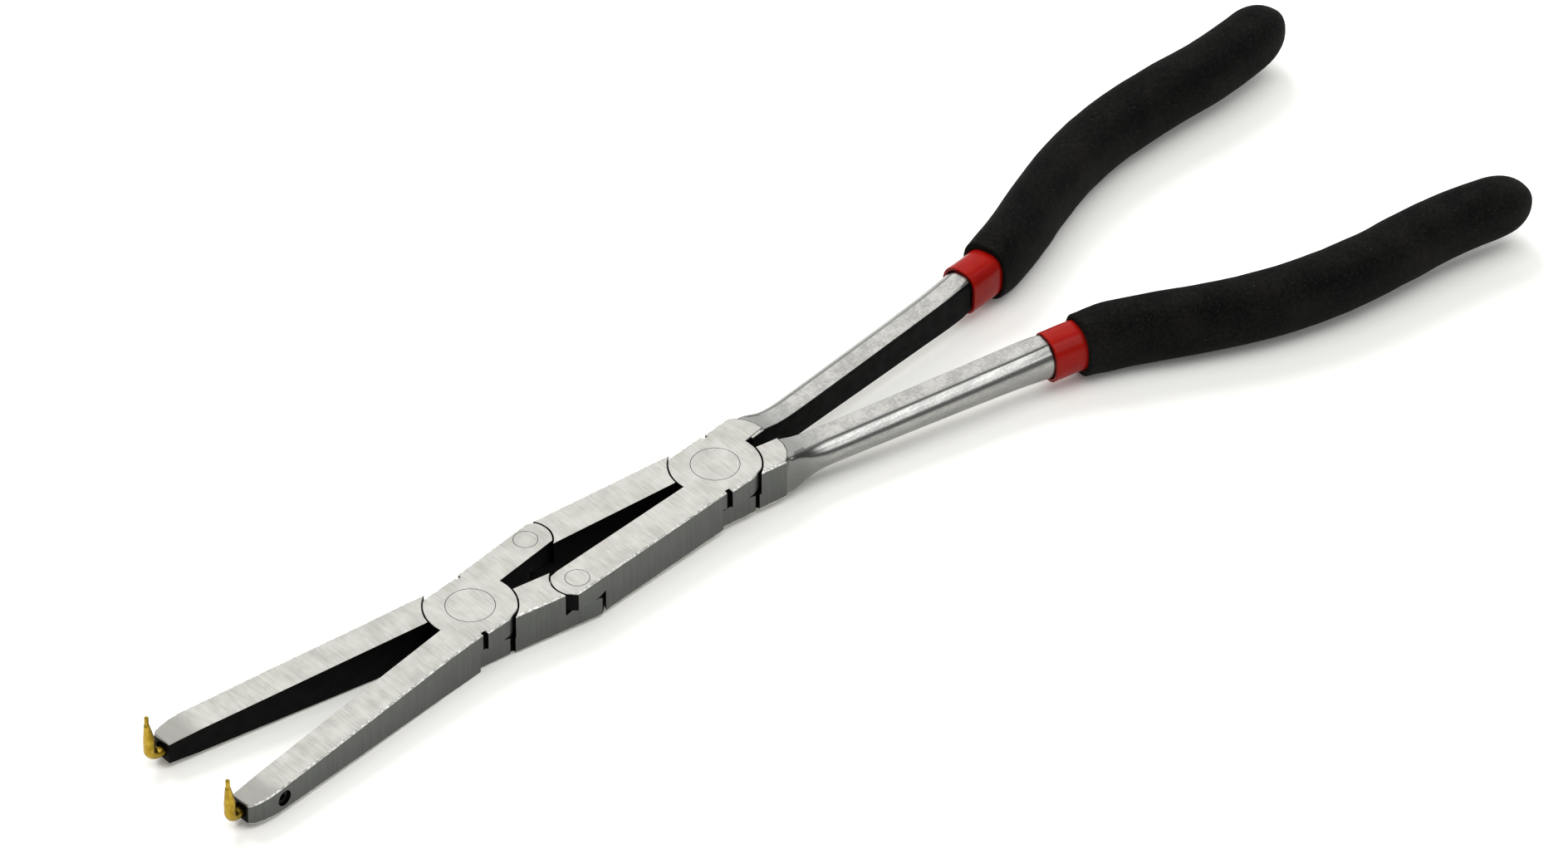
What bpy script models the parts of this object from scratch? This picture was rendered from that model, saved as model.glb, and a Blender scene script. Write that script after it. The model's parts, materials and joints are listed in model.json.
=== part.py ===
"""Long-reach double-pivot pliers with upturned retaining-ring tips, about 403 mm long.

Two handles cross at the rear pivot, two jaws cross at the front pivot, and two link pins join each
handle's front arm to a jaw's rear arm. One jaw and one handle are the upper ones at their laps, and the
other two are those turned over about the tool's long axis. Behind the rear pivot both handles lean a
little to the near side, as in the photo.

Lengths are in millimetres and become metres through MM. The origin is on the rear pivot's axis at the
underside of the steel, +Y runs back to the grips, and +Z is up.
"""

import math
from bisect import bisect_right

import bmesh
import bpy
from mathutils import Euler, Matrix, Vector

MM = 0.001

# The steel
THICKNESS = 11.6
HALF = THICKNESS / 2
LAP_GAP = 0.16
PIVOT_SPACING = 80.0

# Main pivots
PIN_R = 6.2
DISC_R = 11.6
SHOULDER_R = 12.05
RELIEF_WIDTH = 1.9
RELIEF_DEPTH = 0.9

# Link pivots, as seen from the front pivot
LINK_X = 9.69
LINK_Y = 26.27
LINK_PIN_R = 3.1
LINK_END_R = 6.6
LINK_SHOULDER_R = 7.05
LINK_RELIEF_WIDTH = 1.6

PIN_CLEARANCE = 0.06
OPEN_LINK_CLEARANCE = 0.35

# Jaws
JAW_REACH = 85.7
JAW_FULL_TO = 12.0
JAW_TAPER_TO = 77.0
JAW_TAPER_HALF = 3.6
JAW_END_HALF = 2.95
JAW_END_INNER = 11.95
JAW_END_OUTER = 17.6
BORE_R = 2.0
BORE_DEPTH = 13.0
BORE_SLOPE = 0.12
SCREW_AT = 10.0
SCREW_HOLE_R = 2.15

# Tips and their set screws
SHANK_R = 1.45
SHANK_DROP = 0.45
SHANK_LENGTH = 12.0
BEND_START = 1.5
BEND_R = 2.0
BLADE_R = 1.5
BLADE_FULL_HEIGHT = 4.6
SHOULDER_HEIGHT = 9.5
SHOULDER_TIP_R = 0.74
TIP_LEAN = 0.5
TIP_PIN_R = 0.55
TIP_HEIGHT = 12.1
SCREW_R = 1.95
SCREW_INNER = 1.75
SCREW_OUTER = 4.4
SOCKET_R = 1.15
SOCKET_DEPTH = 1.4

# Shafts, measured along +Y from the rear pivot
BLOCK_END = 18.5
SHAFT_START = 13.0
SHAFT_INNER = 2.45
SHAFT_SLOPE = 0.136
COLLAR_FRONT = 95.0
LINER_FRONT = {1: 95.0, -1: 94.0}
GRIP_FRONT = {1: 104.8, -1: 103.3}
CORE_END = 212.0
LINER_ROUND = 212.0
LINER_END = 221.0
GRIP_ROUND = 220.0
GRIP_END = 231.0
OUTER_SIDE = 4.4
LEAN = math.radians(1.47)
FACET_AT = 57.0

# (y, value) pairs, joined by smooth curves
CENTRE_X = [(95, 17.35), (103, 18.45), (111, 20.6), (122, 25.0), (132, 29.7), (144, 34.8), (156, 38.65),
            (168, 41.1), (180, 42.35), (192, 42.75), (204, 43.3), (216, 44.9), (231, 48.0)]
SHAFT_WIDTH = [(13, 8.6), (16, 8.75), (19, 8.45), (24, 8.3), (60, 8.4), (84, 8.6), (95, 9.0)]
SHAFT_HALF = [(13, 5.7), (17, 5.68), (19.2, 5.25), (22, 4.6), (26, 4.2), (34, 4.15), (60, 4.5), (84, 4.95),
              (95, 5.62)]
SHAFT_SQUARENESS = [(13, 7.0), (18, 6.0), (22, 3.2), (27, 2.15), (32, 2.0), (95, 2.0)]
SHAFT_CORNER = [(13, 0.35), (84, 0.4), (91, 1.2), (95, 2.6)]
FACET_SPREAD = [(13, 2.5), (20, 3.0), (95, 10.0), (214, 10.0)]
CORE_HALF_X = [(95, 4.5), (97, 4.0), (110, 3.7), (160, 3.9), (200, 3.9), (212, 3.6)]
CORE_HALF_Z = [(95, 5.62), (97, 4.9), (110, 4.4), (160, 4.2), (200, 3.7), (212, 3.4)]
CORE_CORNER = [(95, 2.6), (97, 1.9), (212, 1.5)]
LINER_HALF_X = [(95, 5.45), (106, 5.55), (160, 5.6), (200, 5.6), (221, 5.2)]
LINER_HALF_Z = [(95, 6.5), (106, 6.4), (160, 6.0), (200, 5.4), (221, 5.1)]
GRIP_HALF_X = [(105, 6.7), (110, 7.05), (116, 7.25), (130, 7.4), (150, 7.5), (174, 7.8), (192, 7.8),
               (204, 7.7), (216, 7.5), (222, 7.35)]
GRIP_HALF_Z = [(105, 8.3), (110, 8.95), (116, 8.9), (130, 8.75), (150, 8.6), (174, 8.3), (192, 8.1),
               (204, 7.95), (216, 7.75), (222, 7.6)]
LINER_WALL = 0.55
SLEEVE_GAP = 0.25
GRIP_SQUARENESS = (2.5, 2.5)
LINER_SQUARENESS = (2.3, 3.0)
BORE_SQUARENESS = (2.3, 3.6)

SCENE = bpy.context.scene


def clear_scene():
    for old in list(bpy.data.objects):
        bpy.data.objects.remove(old)


def collection(name, hidden=False):
    made = bpy.data.collections.new(name)
    SCENE.collection.children.link(made)
    made.hide_render = hidden
    return made


def material(name, colour, metallic, roughness):
    made = bpy.data.materials.new(name)
    made.use_nodes = True
    shader = made.node_tree.nodes["Principled BSDF"]
    shader.inputs["Base Color"].default_value = (*colour, 1)
    shader.inputs["Metallic"].default_value = metallic
    shader.inputs["Roughness"].default_value = roughness
    return made


def arc(centre, radius, start, end, step=6.0):
    """Points round part of a circle, from one angle in degrees to another, both ends included."""
    count = max(2, math.ceil(abs(end - start) / step))
    angles = [math.radians(start + (end - start) * i / count) for i in range(count + 1)]
    return [(centre[0] + radius * math.cos(a), centre[1] + radius * math.sin(a)) for a in angles]


def smooth(table, at):
    """The value at a place on a smooth curve through (place, value) pairs."""
    places = [place for place, _ in table]
    i = min(max(bisect_right(places, at) - 1, 0), len(table) - 2)

    def slope(k):
        low, high = max(k - 1, 0), min(k + 1, len(table) - 1)
        return (table[high][1] - table[low][1]) / (table[high][0] - table[low][0])

    (x0, y0), (x1, y1) = table[i], table[i + 1]
    t = (at - x0) / (x1 - x0)
    rise = slope(i) * (x1 - x0) * t * (1 - t) ** 2 + slope(i + 1) * (x1 - x0) * t * t * (t - 1)
    return y0 * (1 + 2 * t) * (1 - t) ** 2 + y1 * t * t * (3 - 2 * t) + rise


def cleaned(mesh, matrix=None):
    """The mesh with its loose caps welded and its faces pointing out."""
    bm = bmesh.new()
    bm.from_mesh(mesh)
    bmesh.ops.remove_doubles(bm, verts=bm.verts, dist=1e-7)
    if matrix:
        bmesh.ops.transform(bm, matrix=matrix, verts=bm.verts)
    bmesh.ops.recalc_face_normals(bm, faces=bm.faces)
    bm.to_mesh(mesh)
    bm.free()
    return mesh


def mesh_of(guide):
    """The guide's evaluated mesh; the guide is removed."""
    guide_graph = bpy.context.evaluated_depsgraph_get()
    mesh = bpy.data.meshes.new_from_object(guide.evaluated_get(guide_graph))
    matrix = guide.matrix_world.copy()
    bpy.data.objects.remove(guide)
    return cleaned(mesh, matrix)


def curve_guide(name, points, cyclic):
    curve = bpy.data.curves.new(name, "CURVE")
    spline = curve.splines.new("POLY")
    spline.points.add(len(points) - 1)
    for point, place in zip(spline.points, points):
        point.co = (*(length * MM for length in place), 1)
    spline.use_cyclic_u = cyclic
    guide = bpy.data.objects.new(name, curve)
    SCENE.collection.objects.link(guide)
    return guide


def extruded(name, outline, low, high):
    """A flat outline, filled and extruded from one height to another."""
    guide = curve_guide(name, [(x, y, 0) for x, y in outline], cyclic=True)
    guide.data.dimensions = "2D"
    guide.data.fill_mode = "BOTH"
    guide.data.extrude = (high - low) / 2 * MM
    guide.location.z = (high + low) / 2 * MM
    bpy.context.view_layer.update()
    return mesh_of(guide)


def cylinder(radius, low, high, centre=(0, 0), segments=64):
    """An upright cylinder between two heights."""
    mesh = bpy.data.meshes.new("cylinder")
    bm = bmesh.new()
    place = Matrix.Translation(Vector((*centre, (low + high) / 2)) * MM)
    bmesh.ops.create_cone(bm, cap_ends=True, segments=segments, radius1=radius * MM, radius2=radius * MM,
                          depth=(high - low) * MM, matrix=place)
    bm.to_mesh(mesh)
    bm.free()
    return mesh


def turned(name, profile, centre, segments=64):
    """A profile of (radius, height) pairs, top to bottom down its outer side, turned about an axis."""
    mesh = bpy.data.meshes.new(name)
    edges = [(i, i + 1) for i in range(len(profile) - 1)]
    mesh.from_pydata([(r * MM, 0, z * MM) for r, z in profile], edges, [])
    guide = bpy.data.objects.new(name, mesh)
    SCENE.collection.objects.link(guide)
    guide.location = Vector((*centre, 0)) * MM
    screw = guide.modifiers.new("turn", "SCREW")
    screw.steps = screw.render_steps = segments
    screw.use_merge_vertices = True
    screw.merge_threshold = 0.00001
    bpy.context.view_layer.update()
    return mesh_of(guide)


def lofted(name, rings):
    """A skin through rings of equal length, with flat ends."""
    mesh = bpy.data.meshes.new(name)
    bm = bmesh.new()
    loops = [[bm.verts.new(Vector(point) * MM) for point in ring] for ring in rings]
    for a, b in zip(loops, loops[1:]):
        for i in range(len(a)):
            j = (i + 1) % len(a)
            bm.faces.new((a[i], a[j], b[j], b[i]))
    bm.faces.new(reversed(loops[0]))
    bm.faces.new(loops[-1])
    bmesh.ops.recalc_face_normals(bm, faces=bm.faces)
    bm.to_mesh(mesh)
    bm.free()
    return mesh


def shaped(name, mesh, steps):
    """The mesh after Booleans with other meshes, given as (operation, mesh) steps."""
    blank = bpy.data.objects.new(name, mesh)
    SCENE.collection.objects.link(blank)
    tools = []
    for operation, tool_mesh in steps:
        tool = bpy.data.objects.new(f"{name}_{operation.lower()}", tool_mesh)
        tool.hide_render = True
        tool.display_type = "WIRE"
        cutters.objects.link(tool)
        tools.append(tool)
        step = blank.modifiers.new(operation.lower(), "BOOLEAN")
        step.operation = operation
        step.object = tool
    bpy.context.view_layer.update()
    result = mesh_of(blank)
    for tool in tools:
        bpy.data.objects.remove(tool)
    result.shade_smooth()
    result.set_sharp_from_angle(angle=math.radians(30))
    return result


def part(name, mesh, look, place=(0, 0, 0), turn=(0, 0, 0), turned_over=False):
    """A named part. One that is turned over is rotated half a turn about the tool's long axis."""
    made = bpy.data.objects.new(name, mesh)
    if not mesh.materials:
        mesh.materials.append(look)
    made.location = Vector(place) * MM
    made.rotation_euler = Euler((0, math.pi, 0)) if turned_over else Euler(turn)
    parts.objects.link(made)
    return made


# The links


def jaw_outline():
    """The upper jaw from above, its pivot at the origin: the jaw in front, the arm to the link behind."""
    link = (-LINK_X, LINK_Y)
    return [
        (JAW_END_INNER, -JAW_REACH),
        (JAW_END_OUTER, -JAW_REACH),
        (18.4, -84.7),
        (18.85, -82.8),
        (19.08, -80.2),
        (19.0, -77.0),
        (15.6, -48.4),
        (11.7, -17.2),
        (10.4, -4.8),
        (9.5, -4.8),
        (9.5, -3.45),
        (10.8, -3.45),
        (10.35, 3.6),
        *arc((0, 0), DISC_R, 39.0, 100.9),
        (-5.05, 30.9),
        *arc(link, LINK_END_R, 45.0, 118.0, 8.0),
        (-14.1, 30.5),
        (-10.7, 5.3),
        (-9.6, 5.3),
        (-9.6, 3.9),
        (-10.3, 3.9),
        *arc((0, 0), DISC_R, 217.5, 280.7),
    ]


def handle_outline():
    """The upper handle's flat part from above, its pivot at the origin: the link arm in front."""
    link = (LINK_X, LINK_Y - PIVOT_SPACING)
    return [
        (4.45, link[1] - 2.2),
        *arc(link, LINK_END_R, -135.0, -63.0, 8.0),
        (14.4, -57.4),
        (13.6, -47.7),
        (10.1, -5.0),
        (9.2, -5.0),
        (9.2, -3.65),
        (10.7, -3.65),
        (10.2, 3.6),
        *arc((0, 0), DISC_R, 39.9, 98.4),
        (-2.4, BLOCK_END),
        (-5.4, 18.2),
        (-8.1, 17.1),
        (-10.0, 15.5),
        (-11.1, 13.9),
        (-10.2, 5.7),
        (-9.2, 5.7),
        (-9.2, 4.3),
        (-10.2, 4.3),
        *arc((0, 0), DISC_R, 217.5, 276.4),
    ]


def lap_cutter(name, radius, centre, relief_width):
    """What takes away a link's lower half round a pivot, with a relief groove along the shoulder."""
    floor, top = -HALF - 1, LAP_GAP / 2
    face = [(0, top), (radius - relief_width, top), (radius, top + RELIEF_DEPTH)]
    return turned(name, face + [(radius, floor), (0, floor)], centre)


def jaw_side():
    """The jaw's thickness from the side, as a solid that it is intersected with."""
    past_end = JAW_END_HALF - (JAW_TAPER_HALF - JAW_END_HALF) / (JAW_REACH - JAW_TAPER_TO)
    upper = [(-JAW_REACH - 1, past_end), (-JAW_TAPER_TO, JAW_TAPER_HALF), (-JAW_FULL_TO, HALF), (50, HALF)]
    lower = [(y, -z) for y, z in reversed(upper)]
    mesh = extruded("side", upper + lower, -30, 30)
    return cleaned(mesh, Matrix(((0, 0, 1, 0), (1, 0, 0, 0), (0, 1, 0, 0), (0, 0, 0, 1))))


def bore_matrix():
    """From a tip's own axes to the jaw's: the origin at the end face's centre, -Y out along the jaw."""
    turn = Matrix.Rotation(math.atan(BORE_SLOPE), 4, "Z")
    return Matrix.Translation(Vector(((JAW_END_INNER + JAW_END_OUTER) / 2, -JAW_REACH, 0)) * MM) @ turn


def along_y(mesh, y_low):
    """An upright cylinder from height 0 laid along +Y from a place, in a tip's own axes."""
    place = Matrix.Translation((0, y_low * MM, 0)) @ Matrix.Rotation(-math.pi / 2, 4, "X")
    return cleaned(mesh, bore_matrix() @ place)


def along_x(mesh):
    """An upright cylinder laid along +X at the set screw, in a tip's own axes."""
    place = Matrix.Translation((0, SCREW_AT * MM, 0)) @ Matrix.Rotation(math.pi / 2, 4, "Y")
    return cleaned(mesh, bore_matrix() @ place)


def jaw_mesh():
    link = (-LINK_X, LINK_Y)
    return shaped("jaw", extruded("jaw", jaw_outline(), -HALF, HALF), [
        ("INTERSECT", jaw_side()),
        ("DIFFERENCE", lap_cutter("lap", SHOULDER_R, (0, 0), RELIEF_WIDTH)),
        ("DIFFERENCE", lap_cutter("link_lap", LINK_SHOULDER_R, link, LINK_RELIEF_WIDTH)),
        ("DIFFERENCE", cylinder(PIN_R + PIN_CLEARANCE, -HALF - 2, HALF + 2)),
        ("DIFFERENCE", cylinder(LINK_PIN_R + PIN_CLEARANCE, -HALF - 2, HALF + 2, link, 48)),
        ("DIFFERENCE", along_y(cylinder(BORE_R, 0, BORE_DEPTH + 2, segments=32), -2)),
        ("DIFFERENCE", along_x(cylinder(SCREW_HOLE_R, 0, 9, segments=32))),
    ])


def centre_x(y):
    """The distance of a handle's centre line from the tool's, straight up to the collar."""
    if y < COLLAR_FRONT:
        return SHAFT_INNER + SHAFT_SLOPE * (y - BLOCK_END) + smooth(SHAFT_WIDTH, y) / 2
    return smooth(CENTRE_X, y)


def across(y):
    """The centre line's place at y and its outward direction, on the upper handle's side."""
    slope = (centre_x(y + 0.5) - centre_x(y - 0.5))
    return Vector((-centre_x(y), y)), Vector((-1, -slope)).normalized()


def ring_at(y, section):
    """A section of (outward, up) pairs set square to the centre line at y."""
    centre, outward = across(y)
    return [(*(centre + outward * w), z) for w, z in section]


def power(value, squareness):
    return math.copysign(abs(value) ** (2 / squareness), value)


def shaft_section(half_x, half_z, corner, spread, squareness):
    """A D: flat inner side, top and bottom, half an oval outside with a ground flat on each shoulder."""
    low, high = FACET_AT - spread, FACET_AT + spread
    quarter = [low * i / 4 for i in range(5)] + [high, (high + 90) / 2, 90]
    angles = [math.radians(a) for a in [-a for a in reversed(quarter)] + quarter[1:]]
    flat_end = half_x - OUTER_SIDE
    bulge = [(flat_end + OUTER_SIDE * power(math.cos(a), squareness), half_z * power(math.sin(a), squareness))
             for a in angles]
    cut = corner * 0.3
    top = [(corner - half_x, half_z), (cut - half_x, half_z - cut), (-half_x, half_z - corner)]
    return bulge + top + [(w, -z) for w, z in reversed(top)]


def leaned(mesh, side):
    """A shaft or sleeve turned about the rear pivot; side is 1 on the upper handle, -1 on the lower."""
    return cleaned(mesh, Matrix.Rotation(-side * LEAN, 4, "Z"))


def oval_section(half_x, half_z, squareness, count=20):
    """A softly squared oval, whose outer and inner sides can differ in squareness."""
    section = []
    for i in range(count):
        a = 2 * math.pi * i / count
        square = squareness[0] if math.cos(a) > 0 else squareness[1]
        section.append((half_x * power(math.cos(a), square), half_z * power(math.sin(a), square)))
    return section


def shaft_mesh():
    """The steel from inside the block to its end in the grip."""
    shaft = [(y, SHAFT_WIDTH, 0.5, SHAFT_HALF, SHAFT_CORNER)
             for y in (SHAFT_START, 16.5, 18.5, 20, 21.5, 23, 25, 28, 34, 46, 60, 75, 84, 91, COLLAR_FRONT)]
    core = [(y, CORE_HALF_X, 1, CORE_HALF_Z, CORE_CORNER)
            for y in (97, 103, 110, 118, 126, 135, 144, 156, 168, 182, 198, CORE_END)]
    rings = []
    for y, widths, share, heights, corners in shaft + core:
        section = shaft_section(smooth(widths, y) * share, smooth(heights, y), smooth(corners, y),
                                smooth(FACET_SPREAD, y), smooth(SHAFT_SQUARENESS, min(y, COLLAR_FRONT)))
        rings.append(ring_at(y, section))
    return lofted("shaft", rings)


def handle_mesh(side, link_clearance):
    link = (LINK_X, LINK_Y - PIVOT_SPACING)
    return shaped("handle", extruded("handle", handle_outline(), -HALF, HALF), [
        ("UNION", leaned(shaft_mesh(), side)),
        ("DIFFERENCE", lap_cutter("lap", SHOULDER_R, (0, 0), RELIEF_WIDTH)),
        ("DIFFERENCE", lap_cutter("link_lap", LINK_SHOULDER_R, link, LINK_RELIEF_WIDTH)),
        ("DIFFERENCE", cylinder(PIN_R + PIN_CLEARANCE, -HALF - 2, HALF + 2)),
        ("DIFFERENCE", cylinder(LINK_PIN_R + link_clearance, -HALF - 2, HALF + 2, link, 48)),
    ])


# The grips


def sleeve(name, start, end, halves, offset, round_from, squareness):
    """A solid from an open front to a rounded end; offset makes it larger or smaller all round."""
    straight = [(start + (round_from - start) * i / 14, 1.0) for i in range(15)]
    turns = [math.radians(angle) for angle in (25, 45, 62, 76, 85)]
    closing = [(round_from + (end - round_from) * math.sin(a), math.cos(a)) for a in turns]
    rings = []
    for y, scale in straight + closing:
        half_x, half_z = ((smooth(table, min(max(y, table[0][0]), table[-1][0])) + offset) * scale
                          for table in halves)
        rings.append(ring_at(y, oval_section(half_x, half_z, squareness)))
    return lofted(name, rings)


def liner_mesh(side):
    start = LINER_FRONT[side]
    halves = (LINER_HALF_X, LINER_HALF_Z)
    outer = sleeve("liner", start, LINER_END, halves, 0, LINER_ROUND, LINER_SQUARENESS)
    inner = sleeve("bore", start - 1, LINER_END - LINER_WALL, halves, -LINER_WALL, LINER_ROUND,
                   BORE_SQUARENESS)
    return leaned(shaped("liner", outer, [("DIFFERENCE", inner)]), side)


def grip_mesh(side):
    start = GRIP_FRONT[side]
    outer = sleeve("grip", start, GRIP_END, (GRIP_HALF_X, GRIP_HALF_Z), 0, GRIP_ROUND,
                   GRIP_SQUARENESS)
    halves = (LINER_HALF_X, LINER_HALF_Z)
    inner = sleeve("bore", start - 1, LINER_END + SLEEVE_GAP, halves, SLEEVE_GAP, LINER_ROUND,
                   LINER_SQUARENESS)
    return leaned(shaped("grip", outer, [("DIFFERENCE", inner)]), side)


# The tips


def tip_mesh():
    """A tip in its own axes: the shank along +Y from the end face, the blade and its pin upright."""
    bend = [(-BEND_START - BEND_R * math.sin(a), -SHANK_DROP + BEND_R * (1 - math.cos(a)), BLADE_R)
            for a in (math.radians(angle) for angle in range(15, 91, 15))]
    blade_y = -BEND_START - BEND_R
    spine = [
        (SHANK_LENGTH, -SHANK_DROP, SHANK_R),
        (-BEND_START, -SHANK_DROP, SHANK_R),
        *bend,
        (blade_y, BLADE_FULL_HEIGHT, BLADE_R),
        (blade_y - TIP_LEAN, SHOULDER_HEIGHT, SHOULDER_TIP_R),
        (blade_y - TIP_LEAN, SHOULDER_HEIGHT + 0.05, TIP_PIN_R),
        (blade_y - TIP_LEAN, TIP_HEIGHT, TIP_PIN_R),
    ]
    guide = curve_guide("tip", [(0, y, z) for y, z, _ in spine], cyclic=False)
    guide.data.dimensions = "3D"
    guide.data.bevel_depth = MM
    guide.data.bevel_resolution = 4
    guide.data.use_fill_caps = True
    for point, (_, _, radius) in zip(guide.data.splines[0].points, spine):
        point.radius = radius
    bpy.context.view_layer.update()
    mesh = mesh_of(guide)
    mesh.shade_smooth()
    mesh.set_sharp_from_angle(angle=math.radians(40))
    return mesh


def screw_mesh():
    """A set screw in the upper jaw's axes, its hexagon socket facing out."""
    body = cylinder(SCREW_R, SCREW_INNER, SCREW_OUTER, segments=32)
    socket = cylinder(SOCKET_R, SCREW_OUTER - SOCKET_DEPTH, SCREW_OUTER + 1, segments=6)
    return along_x(shaped("screw", body, [("DIFFERENCE", socket)]))


def build():
    jaw_steel = material("jaw_steel", (0.62, 0.61, 0.59), 1.0, 0.34)
    handle_steel = material("handle_steel", (0.62, 0.61, 0.59), 1.0, 0.34)
    pin_steel = material("pin_steel", (0.66, 0.65, 0.63), 1.0, 0.3)
    tip_gold = material("tip_gold", (0.72, 0.52, 0.16), 1.0, 0.3)
    screw_black = material("screw_black", (0.03, 0.03, 0.03), 0.6, 0.45)
    liner_red = material("liner_red", (0.5, 0.02, 0.015), 0.0, 0.3)
    grip_black = material("grip_black", (0.015, 0.015, 0.015), 0.0, 0.85)

    rear_pivot = (0, 0, HALF)
    front_pivot = (0, -PIVOT_SPACING, HALF)
    jaw, tip, screw = jaw_mesh(), tip_mesh(), screw_mesh()
    main_pin = cylinder(PIN_R, -HALF, HALF)
    link_pin = cylinder(LINK_PIN_R, -HALF, HALF, segments=48)

    tip_turn = math.atan(BORE_SLOPE)
    tip_x = (JAW_END_INNER + JAW_END_OUTER) / 2
    tip_y = -PIVOT_SPACING - JAW_REACH
    for name, side, link_clearance in (("upper", 1, PIN_CLEARANCE), ("lower", -1, OPEN_LINK_CLEARANCE)):
        over = side < 0
        part(f"jaw_{name}", jaw, jaw_steel, front_pivot, turned_over=over)
        part(f"set_screw_{name}", screw, screw_black, front_pivot, turned_over=over)
        part(f"tip_{name}", tip, tip_gold, (side * tip_x, tip_y, HALF), turn=(0, 0, side * tip_turn))
        handle = handle_mesh(side, link_clearance)
        part(f"handle_{name}", handle, handle_steel, rear_pivot, turned_over=over)
        part(f"grip_liner_{name}", liner_mesh(side), liner_red, rear_pivot, turned_over=over)
        part(f"grip_{name}", grip_mesh(side), grip_black, rear_pivot, turned_over=over)
    link_y = LINK_Y - PIVOT_SPACING
    part("front_pivot_pin", main_pin, pin_steel, front_pivot)
    part("rear_pivot_pin", main_pin, pin_steel, rear_pivot)
    part("link_pin_far", link_pin, pin_steel, (-LINK_X, link_y, HALF))
    part("link_pin_near", link_pin, pin_steel, (LINK_X, link_y, HALF))


clear_scene()
parts = collection("double_pivot_pliers")
cutters = collection("cutters", hidden=True)
build()
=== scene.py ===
"""Looks of the long-reach double-pivot retaining-ring pliers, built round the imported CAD.

The shape functions work in millimetres, which become metres through MM. A link is drawn in its own
axes: its pivot at the origin, the tips towards -Y, and the face that shows its whole disc upwards.
The lower links are the same shapes turned over about the tool's long axis.
"""

import json
import math
from bisect import bisect_right

import bmesh
import bpy
from mathutils import Matrix, Vector, noise

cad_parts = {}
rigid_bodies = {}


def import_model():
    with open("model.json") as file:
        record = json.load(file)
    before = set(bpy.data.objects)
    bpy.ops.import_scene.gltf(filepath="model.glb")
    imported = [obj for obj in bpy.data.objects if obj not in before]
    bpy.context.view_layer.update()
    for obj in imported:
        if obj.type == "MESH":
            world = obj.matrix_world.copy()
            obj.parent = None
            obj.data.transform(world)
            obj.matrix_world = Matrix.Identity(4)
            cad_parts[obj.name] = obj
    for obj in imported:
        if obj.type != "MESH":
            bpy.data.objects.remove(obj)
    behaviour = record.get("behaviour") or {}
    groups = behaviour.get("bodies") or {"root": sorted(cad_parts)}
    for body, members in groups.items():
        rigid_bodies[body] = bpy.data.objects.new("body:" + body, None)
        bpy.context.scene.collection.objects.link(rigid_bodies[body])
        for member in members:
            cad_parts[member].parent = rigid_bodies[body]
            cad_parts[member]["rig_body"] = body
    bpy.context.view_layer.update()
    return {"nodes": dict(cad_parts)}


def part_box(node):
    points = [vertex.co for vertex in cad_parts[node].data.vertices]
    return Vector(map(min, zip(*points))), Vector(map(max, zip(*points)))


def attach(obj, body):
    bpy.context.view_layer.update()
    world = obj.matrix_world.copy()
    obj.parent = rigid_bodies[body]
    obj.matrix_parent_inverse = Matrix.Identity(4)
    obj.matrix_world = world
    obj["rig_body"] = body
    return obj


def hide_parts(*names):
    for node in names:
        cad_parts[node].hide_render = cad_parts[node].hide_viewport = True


MM = 0.001

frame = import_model()

SCENE = bpy.context.scene
SCENE.view_settings.view_transform = "Standard"


# Places and sizes taken from the CAD


def axis_of(node):
    low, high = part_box(node)
    return (low + high) / 2 / MM


def reach_of(node):
    low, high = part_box(node)
    return (high - low) / 2 / MM


REAR = axis_of("rear_pivot_pin")
FRONT = axis_of("front_pivot_pin")
HALF = REAR.z
PIN_R = reach_of("rear_pivot_pin").x
LINK_PIN_R = reach_of("link_pin_near").x
LINK_X = axis_of("link_pin_near").x
LINK_Y = axis_of("link_pin_near").y - FRONT.y
PIVOT_SPACING = REAR.y - FRONT.y
JAW_REACH = FRONT.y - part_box("jaw_upper")[0].y / MM

# The links
LAP_GAP = 0.16
DISC_R = 11.6
SHOULDER_R = 12.05
RELIEF_WIDTH = 1.9
RELIEF_DEPTH = 0.9
LINK_END_R = 6.6
LINK_SHOULDER_R = 7.05
LINK_RELIEF_WIDTH = 1.6
PIN_CLEARANCE = 0.06
OPEN_LINK_CLEARANCE = 0.35
WIDE_EDGE = 0.36
FINE_EDGE = 0.09
RAMP_EDGE = 0.55
EDGE_ARC = [(1.0, 0.0), (0.29, 0.29), (0.0, 1.0)]
SLOT_FROM, SLOT_TO = 3.4, 5.75
SLOT_FLOOR_X = 9.65
OUTSIDE_FROM_X = 8
JAW_LINK = (-LINK_X, LINK_Y)
HANDLE_LINK = (LINK_X, LINK_Y - PIVOT_SPACING)

# Jaws
JAW_FULL_TO = 12.0
JAW_TAPER_TO = 77.0
JAW_TAPER_HALF = 3.6
JAW_END_HALF = 2.95
JAW_END_INNER = 11.95
JAW_END_OUTER = 17.6
TIP_X = (JAW_END_INNER + JAW_END_OUTER) / 2
BORE_R = 2.0
BORE_DEPTH = 13.0
BORE_SLOPE = 0.12
SCREW_AT = 10.0
SCREW_HOLE_R = 2.15

# Tips and set screws
SHANK_R = 1.45
SHANK_DROP = 0.45
SHANK_LENGTH = 12.0
BEND_START = 1.5
BEND_R = 2.0
BLADE_R = 1.5
BLADE_FULL_HEIGHT = 4.6
SHOULDER_HEIGHT = 9.5
SHOULDER_TIP_R = 0.74
TIP_LEAN = 0.5
TIP_PIN_R = 0.55
TIP_HEIGHT = 12.1
SCREW_R = 1.95
SCREW_INNER = 1.75
SCREW_OUTER = 4.4
SOCKET_R = 1.15
SOCKET_DEPTH = 1.4

# Shafts and sleeves, measured along +Y from the rear pivot
BLOCK_CORNER = 13.9
BLOCK_END = 18.5
SHAFT_INNER = 2.45
SHAFT_SLOPE = 0.136
COLLAR_FRONT = 95.0
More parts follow.
